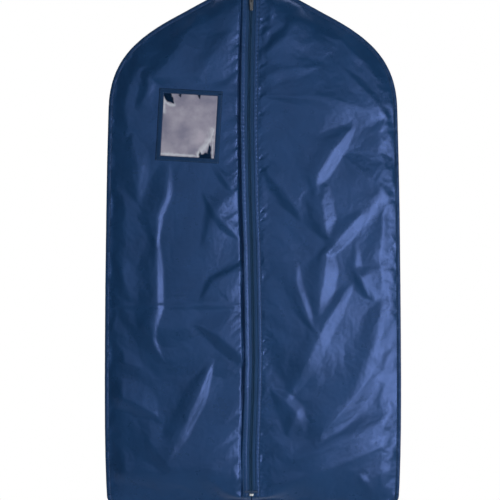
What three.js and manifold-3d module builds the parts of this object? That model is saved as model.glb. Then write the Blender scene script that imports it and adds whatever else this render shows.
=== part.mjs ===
// A hanging garment bag with a full-length front zip, in millimetres.
//
// Frame: +Z up, the front faces -Y, +X is on the right of someone who looks at the front.
// Origin: the centre of the hanger opening at the top edge, in the plane where the front and the back
// are sewn together. "left" and "right" in a name are as that viewer sees them.

import * as THREE from 'three';
import { mergeVertices } from 'three/addons/utils/BufferGeometryUtils.js';
import Module from 'manifold-3d';

const wasm = await Module();
wasm.setup();

// Driving dimensions
const BAG_LENGTH = 1067;
const NECK_HALF_WIDTH = 46;
const SHOULDER_LINE_END = [150, -57];
const SHOULDER_CONTROLS = [[240, -104], [292, -150]];
const SHOULDER_FOOT = [297, -245];
const SIDE_CONTROL = [303, -430];
const WIDEST = [305, -800];
const CORNER_TOP = [301, -1045];
const CORNER_RADIUS = 22;

const CLOTH = 1;
const SEAM_WIDTH = 9;
const SEAM_THICKNESS = 2.4;
const GAP = 0.3;
const FRONT_BOW = 20;
const BACK_BOW = 14;
const SIDE_BORDER = 45;
const BOTTOM_RISE = 11;
const BORDER_STEPS = 6;
const FLAT_BESIDE_ZIP = 3;

const ZIP_X = -3;
const PANEL_TO_ZIP = 15;
const TAPE_OUTER = 17;
const TAPE_THICKNESS = 0.7;
const CHAIN_GAP = 0.65;
const COIL_WIDTH = 2.65;
const COIL_HEIGHT = 1.5;
const TAPE_TOP = -4;
const TAPE_BOTTOM = -1053;
const TOP_STOP_Z = [-19, -15];
const BAR_TACK_Z = [-1040, -1035];
const BOTTOM_STOP_Z = [-1046, -1041.4];

const SLIDER_Z = -31;
const SLIDER_TOP = 7;
const SLIDER_BOTTOM = -7;
const SLIDER_HALF_WIDTH = 5;
const SLIDER_PLATE = 1.5;
const SLIDER_BACK_PLATE = 1.2;
const SLIDER_CLEARANCE = 0.3;
const PIVOT_STANDOFF = 1.4;
const BRIDGE_INNER = 1.7;
const BRIDGE_OUTER = 3;
const BRIDGE_WIDTH = 2.2;
const PULL_LENGTH = 22;
const PULL_THICKNESS = 1.4;

const WINDOW_CENTRE = [-131, -288];
const WINDOW_SIZE = [110, 128];
const WINDOW_TILT = THREE.MathUtils.degToRad(3.3);
const WINDOW_OVERLAP = 6;
const BINDING_WIDTH = 10;
const BINDING_THICKNESS = 0.8;
const FILM_THICKNESS = 0.4;

// Depths from the sewing plane, counted towards the outside
const EDGE_DEPTH = GAP + CLOTH;
const FRONT_FACE = EDGE_DEPTH + FRONT_BOW;
const BACK_FACE = EDGE_DEPTH + BACK_BOW;
const TAPE_FACE = FRONT_FACE - CLOTH - GAP;
const COIL_FACE = TAPE_FACE + GAP + COIL_HEIGHT;
const SLIDER_FACE = COIL_FACE + SLIDER_CLEARANCE + SLIDER_PLATE;
const PIVOT_DEPTH = SLIDER_FACE + PIVOT_STANDOFF;

// Heights of the panels' lower edge and of the end of their rise from it
const PANEL_BOTTOM = SEAM_WIDTH + GAP - BAG_LENGTH;
const RISE_END = PANEL_BOTTOM + BOTTOM_RISE;

const bag = new THREE.Group();

function material(color, roughness, metalness = 0) {
  return new THREE.MeshStandardMaterial({ color, roughness, metalness });
}

function addPart(name, geometry, partMaterial) {
  const mesh = new THREE.Mesh(geometry, partMaterial);
  mesh.name = name;
  bag.add(mesh);
  return mesh;
}

const nylon = () => material(0x2b406b, 0.45);
const binding = () => material(0x1f3058, 0.6);
const tapeCloth = () => material(0x22375f, 0.75);
const coilPlastic = () => material(0x1a2a4c, 0.5);
const nickel = () => material(0xc8cbd0, 0.3, 0.9);
const vinyl = () => material(0x9a96a6, 0.15);

// Outline of the bag's right half, from the neck down to the middle of the bottom hem

const vector = ([x, z]) => new THREE.Vector2(x, z);

function shoulderCurves() {
  const neck = new THREE.Vector2(NECK_HALF_WIDTH, 0);
  const bend = vector(SHOULDER_LINE_END);
  const controls = SHOULDER_CONTROLS.map(vector);
  const line = new THREE.LineCurve(neck, bend);
  const round = new THREE.CubicBezierCurve(bend, ...controls, vector(SHOULDER_FOOT));
  return [...line.getPoints(4), ...round.getPoints(16).slice(1)];
}

function sideCurves() {
  const widest = vector(WIDEST);
  const hip = new THREE.QuadraticBezierCurve(vector(SHOULDER_FOOT), vector(SIDE_CONTROL), widest);
  const foot = new THREE.QuadraticBezierCurve(widest, new THREE.Vector2(WIDEST[0], -980), vector(CORNER_TOP));
  return [...hip.getPoints(6), ...foot.getPoints(5).slice(1)];
}

function bottomCurves() {
  const flatStart = new THREE.Vector2(CORNER_TOP[0] - CORNER_RADIUS, -BAG_LENGTH);
  const cornerPoint = new THREE.Vector2(CORNER_TOP[0], -BAG_LENGTH);
  const corner = new THREE.QuadraticBezierCurve(vector(CORNER_TOP), cornerPoint, flatStart);
  return [...corner.getPoints(6), new THREE.Vector2(0, -BAG_LENGTH)];
}

/** The same run of points moved to its right-hand side, which is the inside of the outline. */
function inset(points, distance) {
  return points.map((point, i) => {
    const before = points[Math.max(i - 1, 0)];
    const after = points[Math.min(i + 1, points.length - 1)];
    const along = after.clone().sub(before).normalize();
    return point.clone().add(new THREE.Vector2(along.y, -along.x).multiplyScalar(distance));
  });
}

const outline = [...shoulderCurves(), ...sideCurves().slice(1), ...bottomCurves().slice(1)];

/** Half-width and height of each row of a panel, just inside the seam, with a row where the hem's rise ends. */
function panelRows() {
  const inner = inset(outline, SEAM_WIDTH + GAP);
  const [first, second] = inner;
  const slope = (second.x - first.x) / (second.y - first.y);
  const top = new THREE.Vector2(first.x - slope * first.y, 0);
  const rows = [top, ...inner.slice(0, -1)];
  const next = rows.findIndex((row) => row.y < RISE_END);
  const above = rows[next - 1];
  const share = (above.y - RISE_END) / (above.y - rows[next].y);
  rows.splice(next, 0, above.clone().lerp(rows[next], share));
  return rows;
}

// Sheets of cloth

/** A closed sheet: a grid of points, and the same grid moved by shift along Y, joined round the edge. */
function closedSheet(grid, shift) {
  const rows = grid.length;
  const columns = grid[0].length;
  const positions = [];
  for (const move of [0, shift]) {
    grid.flat().forEach((p) => positions.push(p.x, p.y + move, p.z));
  }
  const at = (layer, i, j) => (layer * rows + i) * columns + j;
  const index = [];
  const quad = (a, b, c, d) => index.push(a, b, c, a, c, d);
  for (let i = 0; i + 1 < rows; i += 1) {
    for (let j = 0; j + 1 < columns; j += 1) {
      quad(at(0, i, j), at(0, i + 1, j), at(0, i + 1, j + 1), at(0, i, j + 1));
      quad(at(1, i, j), at(1, i, j + 1), at(1, i + 1, j + 1), at(1, i + 1, j));
    }
  }
  const rim = [];
  for (let i = 0; i + 1 < rows; i += 1) rim.push([i, 0]);
  for (let j = 0; j + 1 < columns; j += 1) rim.push([rows - 1, j]);
  for (let i = rows - 1; i > 0; i -= 1) rim.push([i, columns - 1]);
  for (let j = columns - 1; j > 0; j -= 1) rim.push([0, j]);
  rim.forEach(([i, j], n) => {
    const [k, l] = rim[(n + 1) % rim.length];
    quad(at(0, k, l), at(0, i, j), at(1, i, j), at(1, k, l));
  });
  return outwardFacing(positions, index);
}

/** A geometry from these triangles, turned over if they enclose a negative volume. */
function outwardFacing(positions, index) {
  const corner = (n) => new THREE.Vector3().fromArray(positions, 3 * index[n]);
  let volume = 0;
  for (let n = 0; n < index.length; n += 3) {
    volume += corner(n).dot(corner(n + 1).cross(corner(n + 2)));
  }
  const faces = volume < 0 ? index.slice().reverse() : index;
  const geometry = new THREE.BufferGeometry();
  geometry.setAttribute('position', new THREE.Float32BufferAttribute(positions, 3));
  geometry.setIndex(faces);
  return geometry;
}

/** How far out the cloth stands: it rises from the side seam and from the bottom hem to a flat middle. */
function clothDepth(bow, fromSide, border, z) {
  const side = Math.sin(Math.min(fromSide / border, 1) * Math.PI / 2);
  const bottom = Math.min((z - PANEL_BOTTOM) / BOTTOM_RISE, 1);
  return EDGE_DEPTH + bow * side * bottom;
}

/** Distances from the side seam of a panel's grid lines, from the seam to the end of the border. */
function borderDistances(border) {
  return Array.from({ length: BORDER_STEPS + 1 }, (_, k) => border * k / BORDER_STEPS);
}

function frontGrid(side) {
  const edge = ZIP_X * side + PANEL_TO_ZIP;
  return panelRows().map((row) => {
    const border = Math.min(SIDE_BORDER, row.x - edge - FLAT_BESIDE_ZIP);
    const distances = [...borderDistances(border), row.x - edge];
    return distances.map((d) => new THREE.Vector3(
      side * (row.x - d), -clothDepth(FRONT_BOW, d, border, row.y), row.y));
  });
}

function backGrid() {
  return panelRows().map((row) => {
    const border = Math.min(SIDE_BORDER, row.x - 1);
    const half = borderDistances(border).map((d) => [row.x - d, clothDepth(BACK_BOW, d, border, row.y)]);
    const whole = [...half, ...half.slice().reverse().map(([x, y]) => [-x, y])];
    return whole.map(([x, y]) => new THREE.Vector3(x, y, row.y));
  });
}

addPart('back_panel', closedSheet(backGrid(), -CLOTH), nylon());
addPart('front_panel_left', closedSheet(frontGrid(-1), CLOTH), nylon());
addPart('front_panel_right', closedSheet(frontGrid(1), CLOTH), nylon());

// Bound edges of the hanger opening, laid on the outside of each panel's top rows

/** outward is -1 at the front of the bag and 1 at its back. */
function neckBinding(grid, outward) {
  const rows = grid.slice(0, 2).map((row) => row.map((p) => (
    new THREE.Vector3(p.x, p.y + outward * GAP, p.z))));
  return closedSheet(rows, outward * BINDING_THICKNESS);
}

addPart('neck_binding_left', neckBinding(frontGrid(-1), -1), binding());
addPart('neck_binding_right', neckBinding(frontGrid(1), -1), binding());
addPart('neck_binding_back', neckBinding(backGrid(), 1), binding());

// Edge seams: the folded and topstitched margin that joins the front to the back

/** A flat shape drawn in X and Z, with its faces at these two depths in front of the sewing plane. */
function flatPiece(shape, frontDepth, backDepth, options = {}) {
  const depth = frontDepth - backDepth;
  const geometry = new THREE.ExtrudeGeometry(shape, { depth, bevelEnabled: false, ...options });
  geometry.rotateX(Math.PI / 2);
  geometry.translate(0, -backDepth, 0);
  return geometry;
}

/** The end points of a run pulled back along it, so that neighbouring seams stay apart. */
function shortened(points, atStart, atEnd) {
  const run = points.map((p) => p.clone());
  const last = run.length - 1;
  run[0].add(run[1].clone().sub(run[0]).setLength(atStart));
  run[last].add(run[last - 1].clone().sub(run[last]).setLength(atEnd));
  return run;
}

function seamStrip(run, side) {
  const inner = inset(run, SEAM_WIDTH);
  const grid = run.map((outer, i) => [outer, inner[i]].map((p) => (
    new THREE.Vector3(side * p.x, -SEAM_THICKNESS / 2, p.y))));
  return closedSheet(grid, SEAM_THICKNESS);
}

for (const [name, side] of [['left', -1], ['right', 1]]) {
  addPart(`shoulder_seam_${name}`, seamStrip(shortened(shoulderCurves(), 0, GAP), side), binding());
  addPart(`side_seam_${name}`, seamStrip(shortened(sideCurves(), GAP, GAP), side), binding());
}

function bottomSeam() {
  const right = shortened(bottomCurves(), GAP, 0).slice(0, -1);
  const left = right.slice().reverse().map((p) => new THREE.Vector2(-p.x, p.y));
  return seamStrip([...right, ...left], 1);
}

addPart('bottom_seam', bottomSeam(), binding());

/** A rectangular plate between these X values, these heights and these depths. */
function plate(xs, zs, frontDepth, backDepth) {
  const shape = new THREE.Shape([
    new THREE.Vector2(xs[0], zs[0]),
    new THREE.Vector2(xs[1], zs[0]),
    new THREE.Vector2(xs[1], zs[1]),
    new THREE.Vector2(xs[0], zs[1]),
  ]);
  return flatPiece(shape, frontDepth, backDepth);
}

// Zip: two tapes sewn behind the panel edges, two coils, the stops and the bar tack

function zipTape(side) {
  const grid = [TAPE_TOP, RISE_END, TAPE_BOTTOM].map((z) => {
    const depth = clothDepth(FRONT_BOW, SIDE_BORDER, SIDE_BORDER, z) - CLOTH - GAP;
    return [CHAIN_GAP, TAPE_OUTER].map((x) => new THREE.Vector3(ZIP_X + side * x, -depth, z));
  });
  return closedSheet(grid, TAPE_THICKNESS);
}

function zipCoil(side) {
  const half = new THREE.Vector2(COIL_WIDTH, COIL_HEIGHT).divideScalar(2);
  const centreX = ZIP_X + side * (CHAIN_GAP + half.x);
  const section = new THREE.Shape();
  section.absellipse(0, 0, half.x, half.y, 0, 2 * Math.PI);
  const top = TOP_STOP_Z[0] - GAP;
  const bottom = BOTTOM_STOP_Z[1] + GAP;
  const geometry = new THREE.ExtrudeGeometry(section, {
    depth: top - bottom,
    bevelEnabled: false,
    curveSegments: 6,
  });
  geometry.translate(centreX, -(COIL_FACE - half.y), bottom);
  return geometry;
}

const STOP_PROUD = 0.8;
const STOP_HALF_WIDTH = 4;
const BAR_TACK_HALF_WIDTH = 14;
const BAR_TACK_THICKNESS = 0.6;

for (const [name, side] of [['left', -1], ['right', 1]]) {
  addPart(`zipper_tape_${name}`, zipTape(side), tapeCloth());
  addPart(`zipper_coil_${name}`, zipCoil(side), coilPlastic());
  const xs = [CHAIN_GAP, CHAIN_GAP + COIL_WIDTH + GAP].map((x) => ZIP_X + side * x).sort((a, b) => a - b);
  const stop = plate(xs, TOP_STOP_Z, COIL_FACE + STOP_PROUD, TAPE_FACE + GAP);
  addPart(`top_stop_${name}`, stop, nickel());
}
const stopXs = [ZIP_X - STOP_HALF_WIDTH, ZIP_X + STOP_HALF_WIDTH];
addPart('bottom_stop', plate(stopXs, BOTTOM_STOP_Z, COIL_FACE + STOP_PROUD, TAPE_FACE + GAP), nickel());
const tackXs = [ZIP_X - BAR_TACK_HALF_WIDTH, ZIP_X + BAR_TACK_HALF_WIDTH];
const tackDepths = [COIL_FACE + GAP + BAR_TACK_THICKNESS, COIL_FACE + GAP];
addPart('zipper_bar_tack', plate(tackXs, BAR_TACK_Z, ...tackDepths), binding());

// Identification window: a clear film under four folded binding strips, turned a little on the panel

function windowPiece(xs, zs, frontDepth, backDepth) {
  const geometry = plate(xs, zs, frontDepth, backDepth);
  geometry.rotateY(WINDOW_TILT);
  geometry.translate(WINDOW_CENTRE[0], 0, WINDOW_CENTRE[1]);
  return geometry;
}

const [filmX, filmZ] = WINDOW_SIZE.map((size) => size / 2);
const filmBack = FRONT_FACE + GAP;
const filmFront = filmBack + FILM_THICKNESS;
const bindingDepths = [filmFront + GAP + BINDING_THICKNESS, filmFront + GAP];
const outerX = filmX + BINDING_WIDTH;
const outerZ = filmZ + BINDING_WIDTH;
const filmXs = [-filmX - WINDOW_OVERLAP, filmX + WINDOW_OVERLAP];
const filmZs = [-filmZ - WINDOW_OVERLAP, filmZ + WINDOW_OVERLAP];
addPart('id_window_film', windowPiece(filmXs, filmZs, filmFront, filmBack), vinyl());
for (const [name, side] of [['left', -1], ['right', 1]]) {
  const xs = [side * filmX, side * outerX].sort((a, b) => a - b);
  addPart(`id_binding_${name}`, windowPiece(xs, [-outerZ, outerZ], ...bindingDepths), binding());
}
for (const [name, side] of [['bottom', -1], ['top', 1]]) {
  const zs = [side * filmZ, side * outerZ].sort((a, b) => a - b);
  addPart(`id_binding_${name}`, windowPiece([GAP - filmX, filmX - GAP], zs, ...bindingDepths), binding());
}

// Slider: two plates joined by a thin web, a bridge on the front plate, and the pull that hangs from it

function toSolid(geometry) {
  const plain = geometry.clone();
  plain.deleteAttribute('normal');
  plain.deleteAttribute('uv');
  const merged = mergeVertices(plain);
  return new wasm.Manifold(new wasm.Mesh({
    numProp: 3,
    vertProperties: Float32Array.from(merged.attributes.position.array),
    triVerts: Uint32Array.from(merged.index.array),
  }));
}

function toGeometry(solid) {
  const mesh = solid.getMesh();
  const geometry = new THREE.BufferGeometry();
  geometry.setAttribute('position', new THREE.BufferAttribute(mesh.vertProperties, 3));
  geometry.setIndex(new THREE.BufferAttribute(mesh.triVerts, 1));
  return geometry;
}

/** Plan of a slider plate: two round lobes at the top with a notch between them, and a rounder foot. */
function sliderPlan() {
  const half = SLIDER_HALF_WIDTH;
  const lobe = 2.2;
  const foot = 1.6;
  const taper = 0.25;
  const notchDepth = 1.1;
  const plan = new THREE.Shape();
  plan.moveTo(ZIP_X - half + taper + foot, SLIDER_Z + SLIDER_BOTTOM);
  plan.lineTo(ZIP_X + half - taper - foot, SLIDER_Z + SLIDER_BOTTOM);
  plan.absarc(ZIP_X + half - taper - foot, SLIDER_Z + SLIDER_BOTTOM + foot, foot, -Math.PI / 2, 0, false);
  plan.absarc(ZIP_X + half - lobe, SLIDER_Z + SLIDER_TOP - lobe, lobe, 0, Math.PI / 2, false);
  plan.quadraticCurveTo(ZIP_X + 1, SLIDER_Z + SLIDER_TOP, ZIP_X, SLIDER_Z + SLIDER_TOP - notchDepth);
  plan.quadraticCurveTo(ZIP_X - 1, SLIDER_Z + SLIDER_TOP, ZIP_X - half + lobe, SLIDER_Z + SLIDER_TOP);
  plan.absarc(ZIP_X - half + lobe, SLIDER_Z + SLIDER_TOP - lobe, lobe, Math.PI / 2, Math.PI, false);
  plan.absarc(ZIP_X - half + taper + foot, SLIDER_Z + SLIDER_BOTTOM + foot, foot, Math.PI, 1.5 * Math.PI, false);
  return plan;
}

function sliderBody() {
  const plateBack = SLIDER_FACE - SLIDER_PLATE;
  const backPlateFace = TAPE_FACE - TAPE_THICKNESS - SLIDER_CLEARANCE;
  const flangeInner = CHAIN_GAP + COIL_WIDTH + 0.4;
  const flangeOuter = SLIDER_HALF_WIDTH - 0.35;
  const flangeZs = [SLIDER_Z - 5, SLIDER_Z + 4.5];
  const bite = 0.2;
  const web = plate([ZIP_X - 0.35, ZIP_X + 0.35], [SLIDER_Z + 1, SLIDER_Z + 5.4], plateBack + bite,
    backPlateFace - bite);
  const curve = { curveSegments: 8 };
  let solid = toSolid(flatPiece(sliderPlan(), SLIDER_FACE, plateBack, curve));
  solid = solid.add(toSolid(flatPiece(sliderPlan(), backPlateFace, backPlateFace - SLIDER_BACK_PLATE, curve)));
  solid = solid.add(toSolid(web));
  for (const side of [-1, 1]) {
    const xs = [flangeInner, flangeOuter].map((x) => ZIP_X + side * x).sort((a, b) => a - b);
    solid = solid.add(toSolid(plate(xs, flangeZs, plateBack + bite, TAPE_FACE + SLIDER_CLEARANCE)));
  }
  return toGeometry(solid);
}

/** An arch over the pull's cross bar, drawn from the side and extruded across the slider. */
function sliderBridge() {
  const foot = PIVOT_STANDOFF - GAP;
  const arch = new THREE.Shape();
  arch.moveTo(BRIDGE_OUTER, -foot);
  arch.absarc(0, 0, BRIDGE_OUTER, 0, Math.PI, false);
  arch.lineTo(-BRIDGE_OUTER, -foot);
  arch.lineTo(-BRIDGE_INNER, -foot);
  arch.absarc(0, 0, BRIDGE_INNER, Math.PI, 0, true);
  arch.lineTo(BRIDGE_INNER, -foot);
  const options = { depth: BRIDGE_WIDTH, bevelEnabled: false, curveSegments: 14 };
  const geometry = new THREE.ExtrudeGeometry(arch, options);
  geometry.translate(0, 0, -BRIDGE_WIDTH / 2);
  const basis = new THREE.Matrix4().makeBasis(
    new THREE.Vector3(0, 0, 1), new THREE.Vector3(0, -1, 0), new THREE.Vector3(1, 0, 0));
  geometry.applyMatrix4(basis);
  geometry.translate(ZIP_X, -PIVOT_DEPTH, SLIDER_Z);
  return geometry;
}

/** A tapered tab that hangs from its pivot, with an eye just below the bar that the bridge holds. */
function pullTab() {
  const barHalf = 0.9;
  const topHalf = 4.1;
  const endHalf = 3.3;
  const eyeHalf = 2;
  const eyeEnd = -4.6;
  const endRound = 2.2;
  const tab = new THREE.Shape();
  tab.moveTo(ZIP_X - topHalf, SLIDER_Z + barHalf);
  tab.lineTo(ZIP_X - endHalf, SLIDER_Z - PULL_LENGTH + endRound);
  tab.quadraticCurveTo(ZIP_X - endHalf, SLIDER_Z - PULL_LENGTH, ZIP_X, SLIDER_Z - PULL_LENGTH);
  tab.quadraticCurveTo(ZIP_X + endHalf, SLIDER_Z - PULL_LENGTH,
    ZIP_X + endHalf, SLIDER_Z - PULL_LENGTH + endRound);
  tab.lineTo(ZIP_X + topHalf, SLIDER_Z + barHalf);
  const eye = new THREE.Path();
  eye.moveTo(ZIP_X - eyeHalf, SLIDER_Z - barHalf);
  eye.lineTo(ZIP_X + eyeHalf, SLIDER_Z - barHalf);
  eye.lineTo(ZIP_X + eyeHalf, SLIDER_Z + eyeEnd + 1);
  eye.quadraticCurveTo(ZIP_X, SLIDER_Z + eyeEnd - 0.6, ZIP_X - eyeHalf, SLIDER_Z + eyeEnd + 1);
  tab.holes.push(eye);
  const half = PULL_THICKNESS / 2;
  return flatPiece(tab, PIVOT_DEPTH + half, PIVOT_DEPTH - half, { curveSegments: 8 });
}

addPart('slider_body', sliderBody(), nickel());
addPart('slider_bridge', sliderBridge(), nickel());
addPart('pull_tab', pullTab(), nickel());

export default bag;
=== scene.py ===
"""Looks of a hanging nylon garment bag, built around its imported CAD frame. Lengths are in metres."""

import math

import bmesh
import bpy
import numpy as np
from mathutils import Matrix, Vector, noise
from mathutils.bvhtree import BVHTree
from mathutils.geometry import delaunay_2d_cdt


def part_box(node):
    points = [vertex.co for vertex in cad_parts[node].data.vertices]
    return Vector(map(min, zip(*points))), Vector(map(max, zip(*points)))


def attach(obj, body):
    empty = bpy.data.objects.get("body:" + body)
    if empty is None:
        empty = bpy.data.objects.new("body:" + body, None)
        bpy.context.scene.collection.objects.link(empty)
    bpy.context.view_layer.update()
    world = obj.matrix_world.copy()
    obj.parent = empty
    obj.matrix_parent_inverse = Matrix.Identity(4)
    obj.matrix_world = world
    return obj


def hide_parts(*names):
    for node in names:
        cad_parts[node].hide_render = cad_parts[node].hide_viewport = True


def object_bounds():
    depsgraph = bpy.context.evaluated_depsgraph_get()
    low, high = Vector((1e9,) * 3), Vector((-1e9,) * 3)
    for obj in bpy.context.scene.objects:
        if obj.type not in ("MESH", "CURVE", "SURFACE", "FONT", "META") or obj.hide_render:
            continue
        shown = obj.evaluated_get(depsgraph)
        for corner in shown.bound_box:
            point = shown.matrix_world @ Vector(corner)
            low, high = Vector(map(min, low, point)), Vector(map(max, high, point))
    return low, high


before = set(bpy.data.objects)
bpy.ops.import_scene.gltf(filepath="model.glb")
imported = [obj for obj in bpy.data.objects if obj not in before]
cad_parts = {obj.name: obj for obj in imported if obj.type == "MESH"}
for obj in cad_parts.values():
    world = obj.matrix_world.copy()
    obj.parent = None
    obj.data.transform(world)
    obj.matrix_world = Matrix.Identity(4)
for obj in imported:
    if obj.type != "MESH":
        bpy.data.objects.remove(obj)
cad_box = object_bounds()

MM = 0.001
SIDES = ((-1, "left"), (1, "right"))

# Cut of the bag, as its CAD frame has it
NECK = (0.046, 0.0)
SHOULDER_LINE_END = (0.150, -0.057)
SHOULDER_CONTROLS = ((0.240, -0.104), (0.292, -0.150))
SHOULDER_FOOT = (0.297, -0.245)
SIDE_CONTROL = (0.303, -0.430)
WIDEST = (0.305, -0.800)
SIDE_FOOT_CONTROL = (0.305, -0.980)
CORNER_TOP = (0.301, -1.045)
CORNER_RADIUS = 0.022
HEM = cad_box[0].z

SEAM = 0.009
FRONT_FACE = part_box("front_panel_left")[0].y
BACK_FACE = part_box("back_panel")[1].y
TAPE_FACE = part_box("zipper_tape_left")[0].y
COIL_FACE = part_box("zipper_coil_left")[0].y
ZIP_X = (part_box("zipper_coil_left")[1].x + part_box("zipper_coil_right")[0].x) / 2
COIL_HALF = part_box("zipper_coil_right")[1].x - ZIP_X
TAPE_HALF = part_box("zipper_tape_right")[1].x - ZIP_X
HEM_STITCH = HEM + SEAM
ZIP_FOOT = -1.040

# Cloth beside the zip: folded under at FOLD, sewn down as far as FLAT, and free past it
FOLD = 0.0085
FLAT = 0.0176
INNER_STITCH = 0.0100
OUTER_STITCH = 0.0163
STITCH_DIP = 0.0005

PANEL_STEP = 0.005
BACK_STEP = 0.008
BORDER = 0.200
BACK_BORDER = 0.050
EDGE_ROLL = 0.034
FRONT_ROLLED = 0.36
BACK_ROLLED = 0.3
EDGE_LAYER = 0.0015
NECK_HEM = -0.0085


# Curves in the plane of the bag: arrays of (x, z)


def bezier(points, count):
    """count + 1 points along the Bezier curve with these control points."""
    t = np.linspace(0, 1, count + 1)[:, None]
    degree = len(points) - 1
    return sum(
        math.comb(degree, k) * t**k * (1 - t) ** (degree - k) * np.array(p)
        for k, p in enumerate(points)
    )


def arc_lengths(points):
    return np.r_[0, np.cumsum(np.linalg.norm(np.diff(points, axis=0), axis=1))]


def resampled(points, step):
    """The same line with its points about step apart."""
    lengths = arc_lengths(points)
    wanted = np.linspace(0, lengths[-1], max(2, round(lengths[-1] / step) + 1))
    return np.stack([np.interp(wanted, lengths, column) for column in points.T], axis=1)


def directions(points):
    along = np.gradient(points, axis=0)
    return along / np.linalg.norm(along, axis=1)[:, None]


def inward(points):
    """Unit vectors towards the inside of the bag, for a line that runs down its right half."""
    along = directions(points)
    return np.stack([along[:, 1], -along[:, 0]], axis=1)


def inset(points, distance):
    return points + distance * inward(points)


def joined(*lines):
    return np.concatenate([lines[0]] + [line[1:] for line in lines[1:]])


def shoulder_line():
    straight = bezier((NECK, SHOULDER_LINE_END), 8)
    return joined(straight, bezier((SHOULDER_LINE_END, *SHOULDER_CONTROLS, SHOULDER_FOOT), 40))


def side_line():
    hip = bezier((SHOULDER_FOOT, SIDE_CONTROL, WIDEST), 40)
    return joined(hip, bezier((WIDEST, SIDE_FOOT_CONTROL, CORNER_TOP), 20))


def hem_line():
    corner = (CORNER_TOP, (CORNER_TOP[0], HEM), (CORNER_TOP[0] - CORNER_RADIUS, HEM))
    return joined(bezier(corner, 12), np.array([corner[2], (0, HEM)]))


OUTLINE = resampled(joined(shoulder_line(), side_line(), hem_line()), 0.002)
STITCH_LINE = inset(OUTLINE, SEAM)


def line_distance(points, line):
    """Distance of each point from a line, which side of it the point is on, and how far along, 0 to 1."""
    start, run = line[:-1], np.diff(line, axis=0)
    length = np.linalg.norm(run, axis=1)
    best = np.full(len(points), 1e9)
    side = np.zeros(len(points))
    along = np.zeros(len(points))
    passed = arc_lengths(line)
    for a, d, size, before in zip(start, run, length, passed):
        t = np.clip((points - a) @ d / size**2, 0, 1)
        away = points - (a + t[:, None] * d)
        distance = np.linalg.norm(away, axis=1)
        nearer = distance < best
        best[nearer] = distance[nearer]
        side[nearer] = np.sign(d[0] * away[nearer, 1] - d[1] * away[nearer, 0])
        along[nearer] = (before + t[nearer] * size) / passed[-1]
    return best, side, along


def smooth(x, low, high):
    t = np.clip((x - low) / (high - low), 0, 1)
    return t * t * (3 - 2 * t)


def wave_noise(points, scale, seed):
    """Soft noise from about -1 to 1. scale is the size of its waves, or one size for each axis."""
    width, height = np.broadcast_to(scale, (2,))
    return np.array([noise.noise((x / width, z / height, seed)) for x, z in points])


def noise_along(lengths, scale, seed):
    return np.array([noise.noise((s / scale, seed, 0.5)) for s in lengths])


# The zip's line: straight in the CAD frame, and wandering a little in the cloth


def zip_x(z):
    """Where the middle of the chain is. It is on the slider's axis where the slider stops, at both ends."""
    heights = (-1.04, -0.96, -0.85, -0.77, -0.66, -0.53, -0.44, -0.28, -0.15, -0.06, 0.0)
    shifts = (0.0, -0.001, 0.003, 0.005, 0.0035, 0.001, -0.002, -0.005, -0.0035, -0.001, 0.0)
    return ZIP_X + np.interp(z, heights, shifts)


def strip_rise(z):
    """From 0 at the hem to 1 where the zip has come out to the front of the bag."""
    return np.sin(np.clip((z - HEM_STITCH) / 0.011, 0, 1) * math.pi / 2)


def strip_face(side, u, z):
    """Depth of the sewn strip at a distance u from the middle of the zip. Its left half stands proud."""
    lean = np.interp(z, (-1.04, -0.88, -0.80, -0.15, 0.0), (0.05, 0.09, 0.20, 0.20, 0.12))
    slope = lean if side < 0 else -0.04
    face = TAPE_FACE - slope * np.clip(u - COIL_HALF, 0, 1)
    rise = strip_rise(z)
    tucked = 0.0011 * np.clip((HEM_STITCH - z) / 0.002, 0, 1)
    return face * rise - EDGE_LAYER * (1 - rise) + tucked


def edge_wave(points):
    """How far back the sewn edge stands from its plane. Its sides stand forward of it."""
    x, z = np.abs(points[:, 0]), points[:, 1]
    forward = 0.0050 * smooth(x, 0.12, 0.28) * smooth(-z, 0.08, 0.26) * smooth(z, HEM_STITCH, -0.90)
    return 0.0028 * wave_noise(points, (0.25, 0.18), 3.1) * np.clip(-z / 0.2, 0, 1) - forward


# Folds of the front. Each is a ridge along a line drawn from top to bottom, with the widths of its left and
# right flanks and its height. The right flank is flat and the left one is rounded. The wider flank is the
# gentler one: a fold with a steep right flank catches the light, and one with a steep left flank is dark.

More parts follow.
